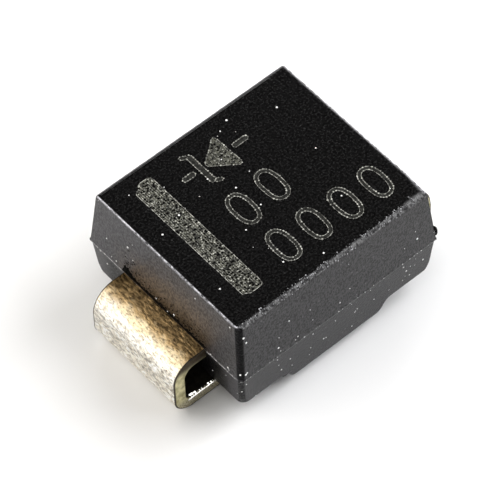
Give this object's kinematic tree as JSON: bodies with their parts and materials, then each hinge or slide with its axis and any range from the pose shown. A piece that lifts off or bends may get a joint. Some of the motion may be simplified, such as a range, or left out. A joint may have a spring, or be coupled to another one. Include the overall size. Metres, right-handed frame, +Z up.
{
  "type": "transient voltage suppressor diode",
  "caption": "Surface-mount suppressor diode: a drafted black moulded block with a cathode band on top and a flat lead at each end that bends down and under it.",
  "frame": {"origin": "centre of the bounding box, at the height of the surface that both feet rest on", "axes": "+X from the cathode lead to the anode lead, +Y across the body, +Z up to the marked top"},
  "size_m": [0.0054, 0.0038, 0.0025],
  "materials": {
    "moulding_compound": "fine matte grain from the mould",
    "tinned_lead": "satin tin plate over copper alloy",
    "silicon": "polished",
    "passivation_glass": "fired glass",
    "solder": "satin"
  },
  "bodies": {
    "root": {"epoxy_body": "moulding_compound", "cathode_lead": "tinned_lead", "anode_lead": "tinned_lead", "silicon_die": "silicon", "die_passivation": "passivation_glass", "cathode_solder": "solder", "anode_solder": "solder"}
  },
  "joints": []
}
